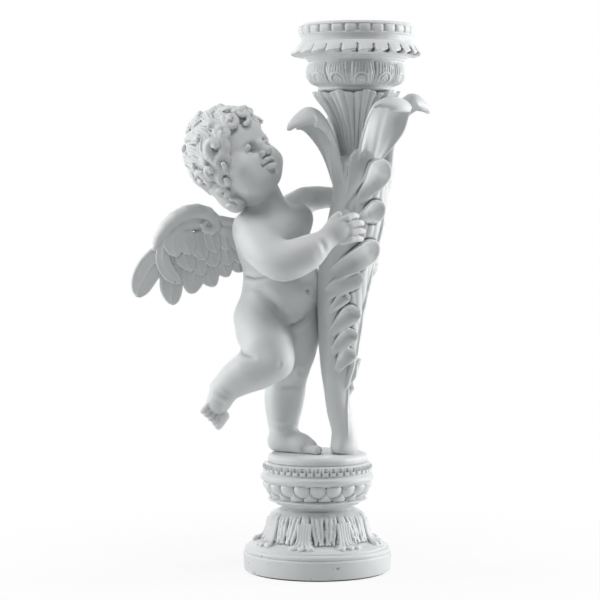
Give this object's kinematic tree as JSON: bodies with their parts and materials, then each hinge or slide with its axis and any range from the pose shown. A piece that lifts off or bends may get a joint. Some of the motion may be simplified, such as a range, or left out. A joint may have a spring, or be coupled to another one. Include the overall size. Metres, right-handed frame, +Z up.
{
  "type": "candlestick figurine",
  "caption": "Winged cherub figurine steadying a leaf-clad horn on a round moulded pedestal; the horn carries a flanged cup with a lift-out pan for a pillar candle.",
  "frame": {"origin": "on the floor under the middle of the round plinth", "axes": "+Z up; -Y is the front, from which the cherub stands to the left of the horn; +X to the right"},
  "size_m": [0.2622, 0.1996, 0.5],
  "materials": {
    "cast_resin": "matte, fine cast grain, unpainted white",
    "pan_steel": "pressed tinned steel, satin",
    "pin_steel": "drawn, dull",
    "zinc_steel": "zinc plated, satin",
    "felt": "pressed wool felt"
  },
  "bodies": {
    "figurine": {"anchor_nut": "zinc_steel", "ankle_rod": "pin_steel", "cup_bowl": "cast_resin", "cup_crown": "cast_resin", "cup_nut": "zinc_steel", "cup_stud": "zinc_steel", "cup_washer": "zinc_steel", "curled_leaf_back": "cast_resin", "curled_leaf_front": "cast_resin", "curled_leaf_left": "cast_resin", "curled_leaf_right": "cast_resin", "felt_pad": "felt", "figure_slab": "cast_resin", "head": "cast_resin", "hip_pins": "pin_steel", "horn_foot_pin": "pin_steel", "horn_stem": "cast_resin", "left_arm": "cast_resin", "left_wing": "cast_resin", "neck_pin": "pin_steel", "pedestal_bowl": "cast_resin", "plinth": "cast_resin", "raised_leg": "cast_resin", "right_arm": "cast_resin", "right_wing": "cast_resin", "shell_collar": "cast_resin", "shoulder_pins": "pin_steel", "standing_leg": "cast_resin", "tie_nut": "zinc_steel", "tie_rod": "zinc_steel", "tie_washer": "zinc_steel", "torso": "cast_resin", "wing_pins": "pin_steel"},
    "pan": {"candle_pan": "pan_steel"}
  },
  "joints": [
    {"name": "candle_pan_lift", "type": "slide", "parent": "figurine", "child": "pan", "axis": [0, 0, 1], "range_m": [0, 0.03]}
  ]
}
